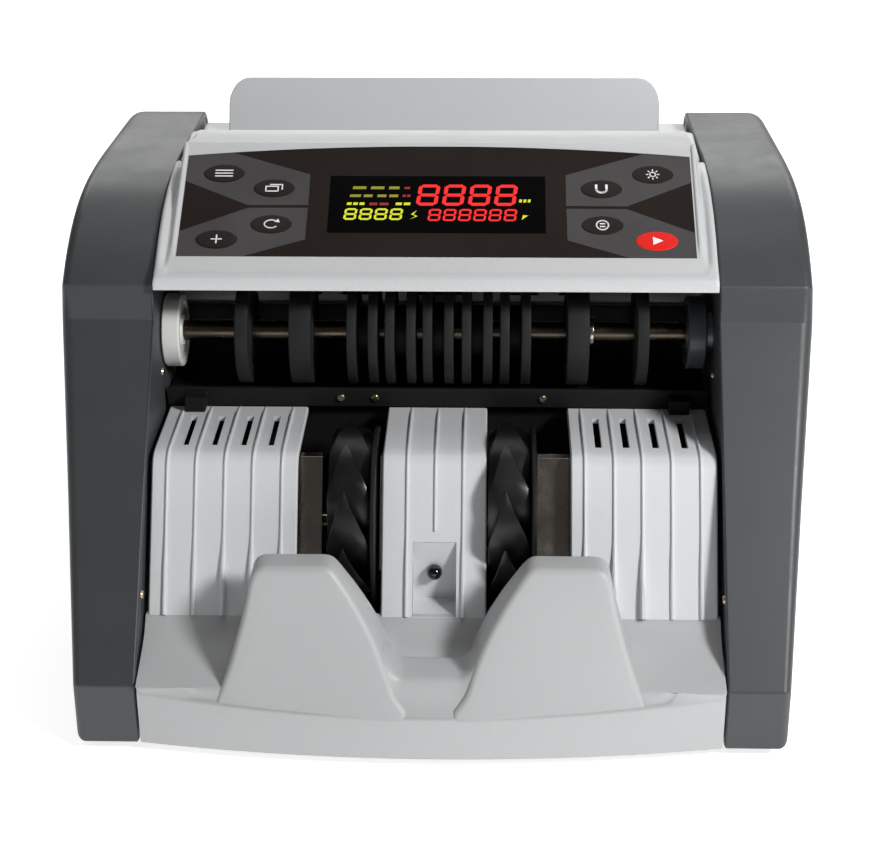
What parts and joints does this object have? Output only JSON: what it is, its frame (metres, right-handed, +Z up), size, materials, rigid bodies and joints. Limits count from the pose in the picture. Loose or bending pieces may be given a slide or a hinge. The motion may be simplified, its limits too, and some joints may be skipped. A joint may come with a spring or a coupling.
{
  "type": "banknote counting machine",
  "caption": "Desktop banknote counter: rear hopper, lifting key panel head with lit display, feed rollers, vaned stacker wheels and a front tray with two note stops, between dark side covers.",
  "frame": {"origin": "middle of the footprint, at the bottom of the rubber feet", "axes": "+X to the operator's right, +Y to the rear, +Z up; the tray and key panel face -Y"},
  "size_m": [0.2886, 0.264, 0.193],
  "materials": {
    "grey_case": "satin moulded, fine texture",
    "light_case": "satin moulded",
    "black_plastic": "satin moulded",
    "film": "printed film, fine grain",
    "screen": "smoked acrylic",
    "key_grey": "printed film",
    "key_red": "printed film",
    "feed_rubber": "ground rubber",
    "foot_rubber": "moulded",
    "belt_rubber": "toothed belt",
    "white_nylon": "moulded nylon",
    "polished_steel": "ground shaft",
    "sheet_steel": "zinc plated sheet",
    "dark_frame": "powder coat",
    "board_green": "circuit board",
    "copper_coil": "varnished windings and core",
    "brass_screw": "plated",
    "lens_dark": "clear smoked lens"
  },
  "bodies": {
    "chassis": {"base_plate": "sheet_steel", "left_side_cover": "grey_case", "right_side_cover": "grey_case", "left_frame_plate": "dark_frame", "right_frame_plate": "dark_frame", "tie_rods": "polished_steel", "rear_cover": "light_case", "rubber_feet": "foot_rubber", "stacker_tray": "light_case", "stacker_back_plate": "light_case", "throat_plate": "sheet_steel", "lower_guide": "black_plastic", "hopper_plate": "light_case", "hopper_front": "black_plastic", "head_hinge_pins": "polished_steel", "shaft_bearings": "sheet_steel", "drive_belt": "belt_rubber", "stack_sensor": "lens_dark", "main_motor": "sheet_steel", "stacker_belt": "belt_rubber", "stacker_motor": "sheet_steel", "retard_bridge": "sheet_steel", "guide_rail": "polished_steel", "main_board": "board_green", "transformer": "copper_coil", "power_sockets": "black_plastic", "machine_screws": "brass_screw"},
    "head": {"head_cover": "light_case", "head_chassis": "black_plastic", "keypad_film": "film", "display_window": "screen", "display_module": "board_green", "key_boards": "board_green"},
    "stack_key_cap": {"stack_key": "key_grey"},
    "double_key_cap": {"double_key": "key_grey"},
    "auto_key_cap": {"auto_key": "key_grey"},
    "add_key_cap": {"add_key": "key_grey"},
    "lamp_key_cap": {"lamp_key": "key_grey"},
    "magnet_key_cap": {"magnet_key": "key_grey"},
    "value_key_cap": {"value_key": "key_grey"},
    "start_key_cap": {"start_key": "key_red"},
    "feed_roller_set": {"feed_shaft": "polished_steel", "feed_rollers": "feed_rubber", "feed_end_discs": "white_nylon", "feed_gear": "white_nylon"},
    "pickup_roller_set": {"pickup_shaft": "polished_steel", "pickup_rollers": "feed_rubber", "pickup_pulley": "black_plastic", "pickup_gear": "black_plastic"},
    "main_motor_rotor": {"main_motor_pulley": "sheet_steel"},
    "stacker_wheel_set": {"stacker_shaft": "polished_steel", "left_impeller": "black_plastic", "right_impeller": "black_plastic", "stacker_pulley": "black_plastic"},
    "stacker_motor_rotor": {"stacker_motor_pulley": "sheet_steel"},
    "retard": {"retard_bracket": "feed_rubber"},
    "knob": {"gap_knob": "black_plastic"},
    "left_guide": {"left_note_guide": "black_plastic"},
    "right_guide": {"right_note_guide": "black_plastic"},
    "rocker": {"switch_rocker": "black_plastic"}
  },
  "joints": [
    {"name": "head_lift", "type": "hinge", "parent": "chassis", "child": "head", "pos_m": [0, 0.061, 0.167], "axis": [-1, 0, 0], "range_deg": [0, 50]},
    {"name": "stack_press", "type": "slide", "parent": "head", "child": "stack_key_cap", "axis": [0, 0.509, -0.8607], "range_m": [0, 0.0005], "stiffness_N_per_m": 300, "springref_m": -0.001},
    {"name": "double_press", "type": "slide", "parent": "head", "child": "double_key_cap", "axis": [0, 0.509, -0.8607], "range_m": [0, 0.0005], "stiffness_N_per_m": 300, "springref_m": -0.001},
    {"name": "auto_press", "type": "slide", "parent": "head", "child": "auto_key_cap", "axis": [0, 0.509, -0.8607], "range_m": [0, 0.0005], "stiffness_N_per_m": 300, "springref_m": -0.001},
    {"name": "add_press", "type": "slide", "parent": "head", "child": "add_key_cap", "axis": [0, 0.509, -0.8607], "range_m": [0, 0.0005], "stiffness_N_per_m": 300, "springref_m": -0.001},
    {"name": "lamp_press", "type": "slide", "parent": "head", "child": "lamp_key_cap", "axis": [0, 0.509, -0.8607], "range_m": [0, 0.0005], "stiffness_N_per_m": 300, "springref_m": -0.001},
    {"name": "magnet_press", "type": "slide", "parent": "head", "child": "magnet_key_cap", "axis": [0, 0.509, -0.8607], "range_m": [0, 0.0005], "stiffness_N_per_m": 300, "springref_m": -0.001},
    {"name": "value_press", "type": "slide", "parent": "head", "child": "value_key_cap", "axis": [0, 0.509, -0.8607], "range_m": [0, 0.0005], "stiffness_N_per_m": 300, "springref_m": -0.001},
    {"name": "start_press", "type": "slide", "parent": "head", "child": "start_key_cap", "axis": [0, 0.509, -0.8607], "range_m": [0, 0.0005], "stiffness_N_per_m": 300, "springref_m": -0.001},
    {"name": "feed_turn", "type": "hinge", "parent": "chassis", "child": "feed_roller_set", "pos_m": [0, -0.008, 0.122], "axis": [1, 0, 0], "continuous": true},
    {"name": "pickup_turn", "type": "hinge", "parent": "chassis", "child": "pickup_roller_set", "pos_m": [0, 0.04, 0.112], "axis": [1, 0, 0], "continuous": true},
    {"name": "main_motor_turn", "type": "hinge", "parent": "chassis", "child": "main_motor_rotor", "pos_m": [0, 0.082, 0.044], "axis": [1, 0, 0], "continuous": true},
    {"name": "stacker_turn", "type": "hinge", "parent": "chassis", "child": "stacker_wheel_set", "pos_m": [0, -0.0555, 0.062], "axis": [1, 0, 0], "continuous": true},
    {"name": "stacker_motor_turn", "type": "hinge", "parent": "chassis", "child": "stacker_motor_rotor", "pos_m": [0, 0.017, 0.039], "axis": [1, 0, 0], "continuous": true},
    {"name": "gap_turn", "type": "hinge", "parent": "chassis", "child": "knob", "pos_m": [0, 0.04, 0.162], "axis": [0, 0, 1], "range_deg": [-180, 180]},
    {"name": "retard_slide", "type": "slide", "parent": "chassis", "child": "retard", "axis": [0, 0, 1], "range_m": [-0.0003, 0.0003]},
    {"name": "left_guide_slide", "type": "slide", "parent": "chassis", "child": "left_guide", "axis": [1, 0, 0], "range_m": [0, 0.043]},
    {"name": "right_guide_slide", "type": "slide", "parent": "chassis", "child": "right_guide", "axis": [-1, 0, 0], "range_m": [0, 0.043]},
    {"name": "switch_rock", "type": "hinge", "parent": "chassis", "child": "rocker", "pos_m": [0.036, 0.119, 0.034], "axis": [-1, 0, 0], "range_deg": [0, 18]}
  ],
  "couplings": [
    {"joint": "pickup_turn", "follows": "feed_turn", "ratio": -1},
    {"joint": "main_motor_turn", "follows": "feed_turn", "ratio": -1.6667},
    {"joint": "stacker_motor_turn", "follows": "stacker_turn", "ratio": 1.5},
    {"joint": "gap_turn", "follows": "retard_slide", "rad_per_m": 10470}
  ]
}
